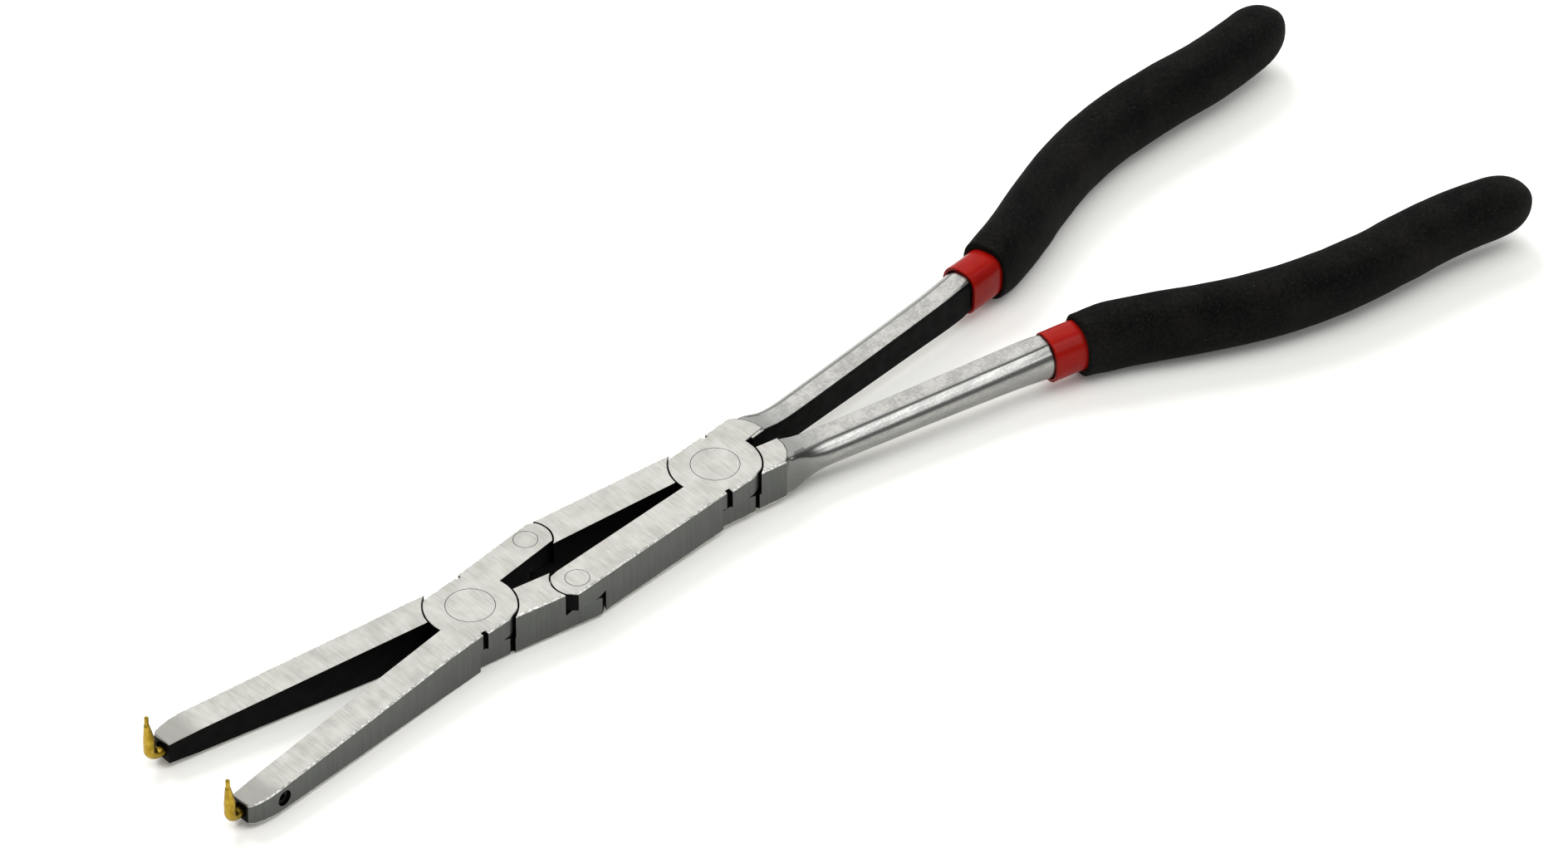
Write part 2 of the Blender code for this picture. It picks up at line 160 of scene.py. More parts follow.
# By side: 1 is the upper handle, -1 the lower
LINER_FRONT = {1: 95.0, -1: 94.0}
GRIP_FRONT = {1: 104.8, -1: 103.3}
CORE_END = 212.0
LINER_ROUND = 212.0
LINER_END = 221.0
GRIP_ROUND = 220.0
GRIP_END = 231.0
OUTER_SIDE = 4.4
LEAN = math.radians(1.47)
FACET_AT = 57.0

# (y, value) pairs, joined by smooth curves
CENTRE_X = [(95, 17.35), (103, 18.45), (111, 20.6), (122, 25.0), (132, 29.7), (144, 34.8), (156, 38.65),
            (168, 41.1), (180, 42.35), (192, 42.75), (204, 43.3), (216, 44.9), (231, 48.0)]
SHAFT_WIDTH = [(13, 8.6), (16, 8.75), (19, 8.45), (24, 8.3), (60, 8.4), (84, 8.6), (95, 9.0)]
SHAFT_HALF = [(13, 5.7), (17, 5.68), (19.2, 5.25), (22, 4.6), (26, 4.2), (34, 4.15), (60, 4.5), (84, 4.95),
              (95, 5.62)]
SHAFT_SQUARENESS = [(13, 7.0), (18, 6.0), (22, 3.2), (27, 2.15), (32, 2.0), (95, 2.0)]
SHAFT_CORNER = [(13, 0.35), (84, 0.4), (91, 1.2), (95, 2.6)]
FACET_SPREAD = [(13, 2.5), (20, 3.0), (95, 10.0), (214, 10.0)]
CORE_HALF_X = [(95, 4.5), (97, 4.0), (110, 3.7), (160, 3.9), (200, 3.9), (212, 3.6)]
CORE_HALF_Z = [(95, 5.62), (97, 4.9), (110, 4.4), (160, 4.2), (200, 3.7), (212, 3.4)]
CORE_CORNER = [(95, 2.6), (97, 1.9), (212, 1.5)]
LINER_HALF_X = [(95, 5.45), (106, 5.55), (160, 5.6), (200, 5.6), (221, 5.2)]
LINER_HALF_Z = [(95, 6.5), (106, 6.4), (160, 6.0), (200, 5.4), (221, 5.1)]
GRIP_HALF_X = [(105, 6.7), (110, 7.05), (116, 7.25), (130, 7.4), (150, 7.5), (174, 7.8), (192, 7.8),
               (204, 7.7), (216, 7.5), (222, 7.35)]
GRIP_HALF_Z = [(105, 8.3), (110, 8.95), (116, 8.9), (130, 8.75), (150, 8.6), (174, 8.3), (192, 8.1),
               (204, 7.95), (216, 7.75), (222, 7.6)]
LINER_WALL = 0.55
LINER_RIM = 0.22
LINER_LIP = 0.24
SLEEVE_GAP = 0.25
GRIP_RIM = 0.5
FOAM_LUMPS = 0.22
GRIP_SQUARENESS = (2.5, 2.5)
LINER_SQUARENESS = (2.3, 3.0)
BORE_SQUARENESS = (2.3, 3.6)


# Shape helpers


def arc(centre, radius, start, end, step=3.0):
    """Points round part of a circle, from one angle in degrees to another, both ends included."""
    count = max(2, math.ceil(abs(end - start) / step))
    angles = [math.radians(start + (end - start) * i / count) for i in range(count + 1)]
    return [(centre[0] + radius * math.cos(a), centre[1] + radius * math.sin(a)) for a in angles]


def smooth(table, at):
    """The value at a place on a smooth curve through (place, value) pairs."""
    places = [place for place, _ in table]
    i = min(max(bisect_right(places, at) - 1, 0), len(table) - 2)

    def slope(k):
        low, high = max(k - 1, 0), min(k + 1, len(table) - 1)
        return (table[high][1] - table[low][1]) / (table[high][0] - table[low][0])

    (x0, y0), (x1, y1) = table[i], table[i + 1]
    t = (at - x0) / (x1 - x0)
    rise = slope(i) * (x1 - x0) * t * (1 - t) ** 2 + slope(i + 1) * (x1 - x0) * t * t * (t - 1)
    return y0 * (1 + 2 * t) * (1 - t) ** 2 + y1 * t * t * (3 - 2 * t) + rise


def steps(start, end, step):
    count = max(1, round((end - start) / step))
    return [start + (end - start) * i / count for i in range(count + 1)]


def mesh_from(bm, name):
    mesh = bpy.data.meshes.new(name)
    bmesh.ops.recalc_face_normals(bm, faces=bm.faces)
    bm.to_mesh(mesh)
    bm.free()
    return mesh


def skin(name, rings):
    """A skin through rings of equal length, with flat ends; a ring of one point closes an end."""
    bm = bmesh.new()
    loops = [[bm.verts.new(Vector(point) * MM) for point in ring] for ring in rings]
    for a, b in zip(loops, loops[1:]):
        count = max(len(a), len(b))
        for i in range(count):
            j = (i + 1) % count
            corners = [a[i % len(a)], a[j % len(a)], b[j % len(b)], b[i % len(b)]]
            bm.faces.new(list(dict.fromkeys(corners)))
    for loop in (loops[0], loops[-1]):
        if len(loop) > 2:
            bm.faces.new(loop)
    return mesh_from(bm, name)


def cylinder(radius, low, high, centre=(0, 0), segments=96):
    """An upright cylinder between two heights."""
    return skin("cylinder", [[(*point, z) for point in arc(centre, radius, 0, 360, 360 / segments)[:-1]]
                             for z in (low, high)])


def turned(profile, centre=(0, 0), segments=96):
    """A solid turned about an upright axis from (radius, height) pairs that start and end on the axis."""
    rings = []
    for radius, z in profile:
        circle = arc(centre, radius, 0, 360, 360 / segments)[:-1]
        rings.append([(*centre, z)] if radius < 1e-6 else [(*point, z) for point in circle])
    return skin("turned", rings)


def moved(mesh, matrix):
    mesh.transform(matrix)
    return mesh


def cut(mesh, operations):
    """The mesh after Booleans with other meshes, given as (operation, mesh) pairs."""
    blank = bpy.data.objects.new("blank", mesh)
    SCENE.collection.objects.link(blank)
    helpers = [blank]
    for operation, tool_mesh in operations:
        tool = bpy.data.objects.new("tool", tool_mesh)
        SCENE.collection.objects.link(tool)
        helpers.append(tool)
        step = blank.modifiers.new(operation, "BOOLEAN")
        step.operation = operation
        step.object = tool
    bpy.context.view_layer.update()
    result = bpy.data.meshes.new_from_object(blank.evaluated_get(bpy.context.evaluated_depsgraph_get()))
    for helper in helpers:
        bpy.data.objects.remove(helper)
    result.materials.clear()
    bm = bmesh.new()
    bm.from_mesh(result)
    bmesh.ops.remove_doubles(bm, verts=bm.verts, dist=1e-6)
    bmesh.ops.dissolve_degenerate(bm, edges=bm.edges, dist=1e-6)
    bm.to_mesh(result)
    bm.free()
    return result


def mitre(before, point, after):
    """How far and which way an outline's corner moves when its edges move in by one unit."""
    inward = []
    for start, end in ((before, point), (point, after)):
        along = (Vector(end) - Vector(start)).normalized()
        inward.append(Vector((-along.y, along.x)))
    both = inward[0] + inward[1]
    return both / max(1 + inward[0].dot(inward[1]), 0.35)


def plate(outline, edge_width):
    """An upright plate with eased top and bottom edges; edge_width gives each corner's easing."""
    corners = []
    for i, point in enumerate(outline):
        before, after = outline[i - 1], outline[(i + 1) % len(outline)]
        corners.append((Vector(point), mitre(before, point, after), edge_width(before, point, after)))

    def ring(share_in, share_down, side):
        return [(*(point + inward * width * share_in), side * (HALF - width * share_down))
                for point, inward, width in corners]

    rings = [ring(a, b, 1) for a, b in EDGE_ARC] + [ring(a, b, -1) for a, b in reversed(EDGE_ARC)]
    return skin("plate", rings)


# The steel


def jaw_outline():
    """The upper jaw from above, its pivot at the origin: the jaw in front, the arm to the link behind."""
    return [
        (JAW_END_INNER, -JAW_REACH),
        (JAW_END_OUTER, -JAW_REACH),
        (18.4, -84.7),
        (18.85, -82.8),
        (19.08, -80.2),
        (19.0, -77.0),
        (15.6, -48.4),
        (11.7, -17.2),
        (10.4, -4.8),
        (9.5, -4.8),
        (9.5, -3.45),
        (10.8, -3.45),
        (10.35, 3.6),
        *arc((0, 0), DISC_R, 39.0, 100.9),
        (-5.05, 30.9),
        *arc(JAW_LINK, LINK_END_R, 45.0, 118.0, 4.0),
        (-14.1, 30.5),
        (-10.7, 5.3),
        (-9.6, 5.3),
        (-9.6, 3.9),
        (-10.3, 3.9),
        *arc((0, 0), DISC_R, 217.5, 280.7),
    ]


def handle_outline():
    """The upper handle's flat part from above, its pivot at the origin: the link arm in front."""
    return [
        (4.45, HANDLE_LINK[1] - 2.2),
        *arc(HANDLE_LINK, LINK_END_R, -135.0, -63.0, 4.0),
        (14.4, -57.4),
        (13.6, -47.7),
        (10.1, -5.0),
        (9.2, -5.0),
        (9.2, -3.65),
        (10.7, -3.65),
        (10.2, 3.6),
        *arc((0, 0), DISC_R, 39.9, 98.4),
        (-2.4, BLOCK_END),
        (-5.4, 18.2),
        (-8.1, 17.1),
        (-10.0, 15.5),
        (-11.1, BLOCK_CORNER),
        (-10.2, 5.7),
        (-9.2, 5.7),
        (-9.2, 4.3),
        (-10.2, 4.3),
        *arc((0, 0), DISC_R, 217.5, 276.4),
    ]


def outside(normal, place):
    """Whether a wall faces away from the tool's middle line and isn't the floor of a slot."""
    sideways = abs(normal[0])
    least = 0.6 if place[1] < -JAW_TAPER_TO else 0.9
    slot_floor = sideways > 0.999 and SLOT_FROM < abs(place[1]) < SLOT_TO and abs(place[0]) < SLOT_FLOOR_X
    return normal[0] * place[0] > 0 and sideways > least and abs(place[0]) > OUTSIDE_FROM_X and not slot_floor


def edge_width(before, point, after):
    """The outer corners of a link are eased most, and the handle's rear end blends into its shaft."""
    for start, end in ((before, point), (point, after)):
        along = (Vector(end) - Vector(start)).normalized()
        normal, middle = (along.y, -along.x), (Vector(start) + Vector(end)) / 2
        if BLOCK_CORNER < middle.y < BLOCK_END + 0.5 and middle.x < -2 and normal[1] > 0.2:
            return RAMP_EDGE
        if outside(normal, middle):
            return WIDE_EDGE
    return FINE_EDGE


def lap(radius, centre, relief_width):
    """What takes away a link's lower half round a pivot, with a relief groove along the shoulder."""
    floor, top = -HALF - 1, LAP_GAP / 2
    return turned([(0, floor), (radius, floor), (radius, top + RELIEF_DEPTH), (radius - relief_width, top),
                   (0, top)], centre)


def jaw_half(y):
    """Half the jaw's thickness at y."""
    if y > -JAW_FULL_TO:
        return HALF
    if y > -JAW_TAPER_TO:
        return HALF + (JAW_TAPER_HALF - HALF) * (-JAW_FULL_TO - y) / (JAW_TAPER_TO - JAW_FULL_TO)
    return JAW_TAPER_HALF + (JAW_END_HALF - JAW_TAPER_HALF) * (-JAW_TAPER_TO - y) / (JAW_REACH - JAW_TAPER_TO)


def thinned(mesh):
    """The jaw's plate brought down to its tapering thickness."""
    bm = bmesh.new()
    bm.from_mesh(mesh)
    for y in (-JAW_FULL_TO, -JAW_TAPER_TO):
        bmesh.ops.bisect_plane(bm, geom=[*bm.verts, *bm.edges, *bm.faces], plane_co=(0, y * MM, 0),
                               plane_no=(0, 1, 0), dist=1e-7)
    for vertex in bm.verts:
        vertex.co.z -= math.copysign(HALF - jaw_half(vertex.co.y / MM), vertex.co.z) * MM
    bm.to_mesh(mesh)
    bm.free()
    return mesh


def bore_matrix():
    """From a tip's own axes to the jaw's: the origin at the end face's centre, -Y out along the jaw."""
    turn = Matrix.Rotation(math.atan(BORE_SLOPE), 4, "Z")
    return Matrix.Translation(Vector((TIP_X, -JAW_REACH, 0)) * MM) @ turn


def along_y(mesh, y_low):
    """An upright solid from height 0 laid along +Y from a place, in a tip's own axes."""
    place = Matrix.Translation((0, y_low * MM, 0)) @ Matrix.Rotation(-math.pi / 2, 4, "X")
    return moved(mesh, bore_matrix() @ place)


def along_x(mesh):
    """An upright solid laid along +X at the set screw, in a tip's own axes."""
    place = Matrix.Translation((0, SCREW_AT * MM, 0)) @ Matrix.Rotation(math.pi / 2, 4, "Y")
    return moved(mesh, bore_matrix() @ place)


def pin_hole(radius, centre=(0, 0)):
    return cylinder(radius, -HALF - 2, HALF + 2, centre)


def jaw_mesh():
    return cut(thinned(plate(jaw_outline(), edge_width)), [
        ("DIFFERENCE", lap(SHOULDER_R, (0, 0), RELIEF_WIDTH)),
        ("DIFFERENCE", lap(LINK_SHOULDER_R, JAW_LINK, LINK_RELIEF_WIDTH)),
        ("DIFFERENCE", pin_hole(PIN_R + PIN_CLEARANCE)),
        ("DIFFERENCE", pin_hole(LINK_PIN_R + PIN_CLEARANCE, JAW_LINK)),
        ("DIFFERENCE", along_y(cylinder(BORE_R, 0, BORE_DEPTH + 2, segments=48), -2)),
        ("DIFFERENCE", along_x(cylinder(SCREW_HOLE_R, 0, 9, segments=48))),
    ])


def centre_x(y):
    """The distance of a handle's centre line from the tool's, straight up to the collar."""
    if y < COLLAR_FRONT:
        return SHAFT_INNER + SHAFT_SLOPE * (y - BLOCK_END) + smooth(SHAFT_WIDTH, y) / 2
    return smooth(CENTRE_X, y)


def across(y):
    """The centre line's place at y and its outward direction, on the upper handle's side."""
    slope = centre_x(y + 0.5) - centre_x(y - 0.5)
    return Vector((-centre_x(y), y)), Vector((-1, -slope)).normalized()


def ring_at(y, section):
    """A section of (outward, up) pairs set square to the centre line at y."""
    centre, outward = across(y)
    return [(*(centre + outward * w), z) for w, z in section]


def power(value, squareness):
    return math.copysign(abs(value) ** (2 / squareness), value)


def shaft_section(half_x, half_z, corner, spread, squareness):
    """A D: flat inner side, top and bottom, half an oval outside with a ground flat on each shoulder."""
    low, high = FACET_AT - spread, FACET_AT + spread
    quarter = [low * i / 9 for i in range(10)] + [high + (90 - high) * i / 4 for i in range(5)]
    angles = [math.radians(a) for a in [-a for a in reversed(quarter)] + quarter[1:]]
    flat_end = half_x - OUTER_SIDE
    bulge = [(flat_end + OUTER_SIDE * power(math.cos(a), squareness), half_z * power(math.sin(a), squareness))
             for a in angles]
    turns = [math.radians(a) for a in (0, 22, 45, 68, 90)]
    top = [(-half_x + corner - corner * math.sin(a), half_z - corner + corner * math.cos(a)) for a in turns]
    return bulge + top + [(w, -z) for w, z in reversed(top)]


def shaft_mesh():
    """The steel from inside the block to its end in the grip."""
    shaft = [(y, SHAFT_WIDTH, 0.5, SHAFT_HALF, SHAFT_CORNER)
             for y in [13, 15, 16.5, *steps(17.5, 27, 0.75), *steps(29, 91, 4), 92, 93, 94, COLLAR_FRONT]]
    core = [(y, CORE_HALF_X, 1, CORE_HALF_Z, CORE_CORNER) for y in [96, 97, 99, *steps(103, CORE_END, 8)]]
    rings = []
    for y, widths, share, heights, corners in shaft + core:
        section = shaft_section(smooth(widths, y) * share, smooth(heights, y), smooth(corners, y),
                                smooth(FACET_SPREAD, y), smooth(SHAFT_SQUARENESS, min(y, COLLAR_FRONT)))
        rings.append(ring_at(y, section))
    return skin("shaft", rings)


def leaned(mesh, side):
    """A shaft or sleeve turned about the rear pivot; side is 1 on the upper handle, -1 on the lower."""
    return moved(mesh, Matrix.Rotation(-side * LEAN, 4, "Z"))


def handle_mesh(side, link_clearance):
    return cut(plate(handle_outline(), edge_width), [
        ("UNION", leaned(shaft_mesh(), side)),
        ("DIFFERENCE", lap(SHOULDER_R, (0, 0), RELIEF_WIDTH)),
        ("DIFFERENCE", lap(LINK_SHOULDER_R, HANDLE_LINK, LINK_RELIEF_WIDTH)),
        ("DIFFERENCE", pin_hole(PIN_R + PIN_CLEARANCE)),
        ("DIFFERENCE", pin_hole(LINK_PIN_R + link_clearance, HANDLE_LINK)),
    ])


def pin_mesh(radius):
    edge = 0.1
    return turned([(0, -HALF), (radius - edge, -HALF), (radius, -HALF + edge), (radius, HALF - edge),
                   (radius - edge, HALF), (0, HALF)])


def screw_mesh():
    """A set screw in the upper jaw's axes, its hexagon socket facing out."""
    edge = 0.25
    body = turned([(0, SCREW_INNER), (SCREW_R - edge, SCREW_INNER), (SCREW_R, SCREW_INNER + edge),
                   (SCREW_R, SCREW_OUTER - edge), (SCREW_R - edge, SCREW_OUTER), (0, SCREW_OUTER)],
                  segments=48)
    socket = cylinder(SOCKET_R, SCREW_OUTER - SOCKET_DEPTH, SCREW_OUTER + 1, segments=6)
    return along_x(cut(body, [("DIFFERENCE", socket)]))


# Tips


def tip_mesh():
    """A tip in its own axes: the shank along +Y from the end face, the blade and its pin upright."""
    blade_y = -BEND_START - BEND_R
    edge = 0.2
    spine = [(SHANK_LENGTH, -SHANK_DROP, 0, SHANK_R - 0.25)]
    spine += [(y, -SHANK_DROP, 0, SHANK_R) for y in (SHANK_LENGTH - edge, 4, 0, -BEND_START + edge)]
    for angle in steps(0, 90, 7.5):
        a = math.radians(angle)
        spine.append((-BEND_START - BEND_R * math.sin(a), -SHANK_DROP + BEND_R * (1 - math.cos(a)), angle,
                      SHANK_R + (BLADE_R - SHANK_R) * angle / 90))
    for height in steps(2.0, BLADE_FULL_HEIGHT, 0.5):
        spine.append((blade_y, height, 90, BLADE_R))
    for share in steps(0.1, 1, 0.1):
        height = BLADE_FULL_HEIGHT + (SHOULDER_HEIGHT - BLADE_FULL_HEIGHT) * share
        spine.append((blade_y - TIP_LEAN * share, height, 90, BLADE_R + (SHOULDER_TIP_R - BLADE_R) * share))
    pin_y = blade_y - TIP_LEAN
    spine += [(pin_y, SHOULDER_HEIGHT + 0.06, 90, SHOULDER_TIP_R - 0.08),
              (pin_y, SHOULDER_HEIGHT + 0.07, 90, TIP_PIN_R + 0.03),
              (pin_y, SHOULDER_HEIGHT + 0.14, 90, TIP_PIN_R),
              (pin_y, TIP_HEIGHT - 0.16, 90, TIP_PIN_R),
              (pin_y, TIP_HEIGHT - 0.04, 90, TIP_PIN_R - 0.07),
              (pin_y, TIP_HEIGHT, 90, TIP_PIN_R - 0.18)]
    rings = []
    for y, z, angle, radius in spine:
        lift = math.radians(angle)
        ring = []
        for turn in range(28):
            a = 2 * math.pi * turn / 28
            side, up = radius * math.cos(a), radius * math.sin(a)
            ring.append((side, y + up * math.sin(lift), z + up * math.cos(lift)))
        rings.append(ring)
    return skin("tip", rings)


# Grips


def oval_section(half_x, half_z, squareness, count=72):
    """A softly squared oval, whose outer and inner sides can differ in squareness."""
    section = []
    for i in range(count):
        a = 2 * math.pi * i / count
        square = squareness[0] if math.cos(a) > 0 else squareness[1]
        section.append((half_x * power(math.cos(a), square), half_z * power(math.sin(a), square)))
    return section


def sleeve_ring(y, shape, offset, scale=1.0):
    """One ring of a sleeve; shape is (half widths, half heights, squareness)."""
    half_x, half_z = ((smooth(table, min(max(y, table[0][0]), table[-1][0])) + offset) * scale
                      for table in shape[:2])
    return ring_at(y, oval_section(half_x, half_z, shape[2]))


def rounded_end(round_from, end, shape, offset):
    """Rings and a last point that close a sleeve's end as a quarter of an ellipse."""
    rings = []
    for angle in steps(7.5, 82.5, 7.5):
        a = math.radians(angle)
        rings.append(sleeve_ring(round_from + (end - round_from) * math.sin(a), shape, offset, math.cos(a)))
    centre, _ = across(end)
    return rings + [[(*centre, 0)]]


def sleeve(name, start, outer, inner, rim, step, lip=0.0):
    """A sleeve with a rounded open front, narrowed by a lip.

    outer and inner are (shape, offset, where the end starts to round, end), and step is the rings' spacing.
    """
    shape, offset, round_from, end = outer
    outside_rings = []
    for angle in (0, 20, 40, 60, 80, 90):
        a = math.radians(angle)
        back, down = rim * (1 - math.cos(a)), rim * (1 - math.sin(a))
        outside_rings.append(sleeve_ring(start + back, shape, offset - down))
    outside_rings += [sleeve_ring(y, shape, offset) for y in steps(start + rim * 1.5, round_from, step)]
    outside_rings += rounded_end(round_from, end, shape, offset)
    shape, offset, round_from, end = inner
    inside_rings = [sleeve_ring(start + depth, shape, offset - lip) for depth in (0.05, 0.6)]
    inside_rings += [sleeve_ring(y, shape, offset) for y in steps(start + 0.9, round_from, 8)]
    inside_rings += rounded_end(round_from, end, shape, offset)
    return skin(name, list(reversed(outside_rings)) + inside_rings)


LINER_SHAPE = (LINER_HALF_X, LINER_HALF_Z, LINER_SQUARENESS)
BORE_SHAPE = (LINER_HALF_X, LINER_HALF_Z, BORE_SQUARENESS)
GRIP_SHAPE = (GRIP_HALF_X, GRIP_HALF_Z, GRIP_SQUARENESS)


def liner_mesh(side):
    outer = (LINER_SHAPE, 0, LINER_ROUND, LINER_END)
    inner = (BORE_SHAPE, -LINER_WALL, LINER_ROUND, LINER_END - LINER_WALL)
    return leaned(sleeve("liner", LINER_FRONT[side], outer, inner, LINER_RIM, 2.0, LINER_LIP), side)


def grip_mesh(side):
    outer = (GRIP_SHAPE, 0, GRIP_ROUND, GRIP_END)
    inner = (LINER_SHAPE, SLEEVE_GAP, LINER_ROUND, LINER_END + SLEEVE_GAP)
    return leaned(sleeve("grip", GRIP_FRONT[side], outer, inner, GRIP_RIM, 1.5), side)


def lumpy(mesh, side):
    """The foam's skin behind its front rim moved in and out a little, in soft lumps."""
    shift = Vector((5.0 * side, 0, 0))
    for vertex in mesh.vertices:
        place = vertex.co / MM
        lump = noise.noise(place / 9 + shift) * 0.65 + noise.noise(place / 3.5) * 0.35
        if place.y > GRIP_FRONT[side] + 0.8:
            vertex.co += vertex.normal * (lump - 0.25) * FOAM_LUMPS * MM
    return mesh


# Materials


class Nodes:
    """A material's node tree, with short calls for the nodes used here."""

    def __init__(self, name):
        self.material = bpy.data.materials.new(name)
        self.material.use_nodes = True
        self.tree = self.material.node_tree
        self.shader = self.tree.nodes["Principled BSDF"]
        self.place = self.add("ShaderNodeTexCoord").outputs["Object"]

    def add(self, kind, **settings):
        node = self.tree.nodes.new(kind)
        for name, value in settings.items():
            setattr(node, name, value)
        return node

    def feed(self, node, **inputs):
        """Sets a node's inputs by name: a socket is linked, a value is set."""
        for name, value in inputs.items():
            socket = node.inputs[int(name[1:])] if name[1:].isdigit() else node.inputs[name.replace("_", " ")]
            if isinstance(value, bpy.types.NodeSocket):
                self.tree.links.new(value, socket)
            else:
                socket.default_value = value
        return node

    def along_y(self):
        split = self.add("ShaderNodeSeparateXYZ")
        self.feed(split, _0=self.place)
        return split.outputs["Y"]

    def noise(self, size, detail=3.0, roughness=0.55, shift=0.0):
        """Noise whose grains have the given size in mm along each axis, or in all three."""
        sizes = size if isinstance(size, tuple) else (size,) * 3
        mapping = self.add("ShaderNodeMapping")
        self.feed(mapping, Vector=self.place, Scale=tuple(1 / (s * MM) for s in sizes), Location=(shift,) * 3)
        texture = self.add("ShaderNodeTexNoise")
        self.feed(texture, Vector=mapping.outputs[0], Scale=1.0, Detail=detail, Roughness=roughness)
        return texture.outputs["Fac"]

    def range(self, value, low, high, to_low=0.0, to_high=1.0):
        node = self.add("ShaderNodeMapRange", interpolation_type="SMOOTHSTEP")
        self.feed(node, Value=value, From_Min=low, From_Max=high, To_Min=to_low, To_Max=to_high)
        return node.outputs[0]

    def sum(self, *weighted):
        """The sum of (value, weight) pairs."""
        total = None
        for value, weight in weighted:
            node = self.add("ShaderNodeMath", operation="MULTIPLY_ADD")
            self.feed(node, _0=value, _1=weight, _2=total if total is not None else 0.0)
            total = node.outputs[0]
        return total

    def mix(self, share, first, second):
        node = self.add("ShaderNodeMix", data_type="RGBA")
        self.feed(node, _0=share)
        for index, colour in ((6, first), (7, second)):
            if isinstance(colour, bpy.types.NodeSocket):
                self.tree.links.new(colour, node.inputs[index])
            else:
                node.inputs[index].default_value = (*colour, 1)
        return node.outputs[2]

    def bump(self, height, strength, distance):
        node = self.add("ShaderNodeBump")
        self.feed(node, Height=height, Strength=strength, Distance=distance * MM)
        self.feed(self.shader, Normal=node.outputs[0])

    def finish(self, **inputs):
        self.feed(self.shader, **inputs)
        return self.material


def ground_steel(name, dark, light, roughness, grain, blotch=0.35, bump=0.12, jaw_end_shade=1.0):
    """Steel ground in one direction: grain is the size of its fine marks along each axis.

    The jaws' thinned ends get painted shade: there the dark colour is scaled by the last argument.
    """
    look = Nodes(name)
    fine = look.noise(grain, 4.0, 0.7)
    broad = look.noise(tuple(g * 3.2 for g in grain), 2.0, 0.5, 7.0)
    cloud = look.noise(5.0, 2.0, 0.5, 3.0)
    marks = look.sum((fine, 0.5), (broad, 0.5 - blotch / 2), (cloud, blotch / 2))
    share = look.range(marks, 0.36, 0.62)
    colour = look.mix(share, dark, light)
    # Painted shade: past the taper the jaws' thinned ends are darkened.
    if jaw_end_shade < 1:
        start = (FRONT.y - JAW_TAPER_TO) * MM
        end_shade_share = look.range(look.along_y(), start - 0.003, start + 0.003, 1.0, 0.0)
        colour = look.mix(end_shade_share, colour, tuple(c * jaw_end_shade for c in dark))
    look.feed(look.shader, Base_Color=colour,
              Roughness=look.range(fine, 0.3, 0.7, roughness + 0.07, roughness - 0.05))
    look.bump(fine, bump, 0.02)
    return look.finish(Metallic=1.0)


def black_oxide():
    look = Nodes("black_oxide")
    cloud = look.noise(3.0, 3.0)
    speck = look.range(look.noise(0.5, 2.0, 0.6, 5.0), 0.72, 0.8)
    base = look.mix(cloud, (0.0012, 0.0013, 0.0014), (0.0026, 0.0027, 0.0028))
    look.feed(look.shader, Base_Color=look.mix(speck, base, (0.03, 0.03, 0.028)),
              Roughness=look.range(cloud, 0.3, 0.7, 0.5, 0.65))
    look.bump(look.noise(0.35, 3.0), 0.15, 0.02)
    return look.finish(Metallic=0.0, Specular_IOR_Level=0.05)


def worn_edge_and_highlight():
    # Worn chips along the outer chamfers, and painted highlight: the pale end runs brighter than the ground
    # tops to stand for the edges' glint.
    look = Nodes("worn_edge_and_highlight")
    chips_and_glints = look.range(look.noise((0.7, 1.1, 0.5), 4.0, 0.7), 0.42, 0.58)
    look.feed(look.shader, Base_Color=look.mix(chips_and_glints, (0.42, 0.42, 0.4), (0.95, 0.94, 0.9)),
              Roughness=look.range(chips_and_glints, 0, 1, 0.45, 0.3))
    look.bump(chips_and_glints, 0.35, 0.05)
    return look.finish(Metallic=1.0)


def shaft_steel():
    """Forged and polished steel: soft cloudiness, faint lengthwise lines and a fine pebbled skin."""
    look = Nodes("shaft_steel")
    pebbles = look.noise(0.55, 3.0, 0.6)
    lines = look.noise((0.5, 14.0, 0.5), 2.0, 0.5, 2.0)
    cloud = look.noise((3.0, 9.0, 3.0), 2.0, 0.5, 4.0)
    marks = look.sum((pebbles, 0.35), (lines, 0.3), (cloud, 0.35))
    bright = look.mix(look.range(marks, 0.38, 0.62), (0.25, 0.25, 0.243), (0.33, 0.328, 0.315))
    # Painted shade: the shaft is darkened where it leaves the block's ramp.
    away = look.range(look.along_y(), (BLOCK_END - 1) * MM, (BLOCK_END + 11) * MM)
    look.feed(look.shader, Base_Color=look.mix(away, (0.165, 0.168, 0.161), bright),
              Roughness=look.range(marks, 0.35, 0.65, 0.28, 0.2))
    look.bump(pebbles, 0.12, 0.02)
    return look.finish(Metallic=1.0)


def shaft_flat():
    """The ground flats along the shafts: pale, even and finely mottled."""
    look = Nodes("shaft_flat")
    mottle = look.noise(0.8, 4.0, 0.65)
    cloud = look.noise(4.0, 2.0, 0.5, 4.0)
    marks = look.sum((mottle, 0.6), (cloud, 0.4))
    bright = look.mix(look.range(marks, 0.38, 0.62), (0.48, 0.475, 0.45), (0.66, 0.652, 0.62))
    # Painted shade: the flat is darkened where it leaves the block's ramp.
    away = look.range(look.along_y(), (BLOCK_END - 1) * MM, (BLOCK_END + 14) * MM)
    look.feed(look.shader, Base_Color=look.mix(away, (0.36, 0.36, 0.345), bright),
              Roughness=look.range(marks, 0.35, 0.65, 0.42, 0.34))
    look.bump(mottle, 0.2, 0.03)
    return look.finish(Metallic=1.0)


def plated_gold():
    look = Nodes("plated_gold")
    cloud = look.noise(2.2, 2.0)
    colour = look.mix(look.range(cloud, 0.35, 0.65), (0.31, 0.2, 0.018), (0.44, 0.3, 0.042))
    look.feed(look.shader, Base_Color=colour, Roughness=look.range(cloud, 0.3, 0.7, 0.36, 0.26))
    look.bump(look.noise(0.25, 2.0), 0.12, 0.01)
    return look.finish(Metallic=1.0)


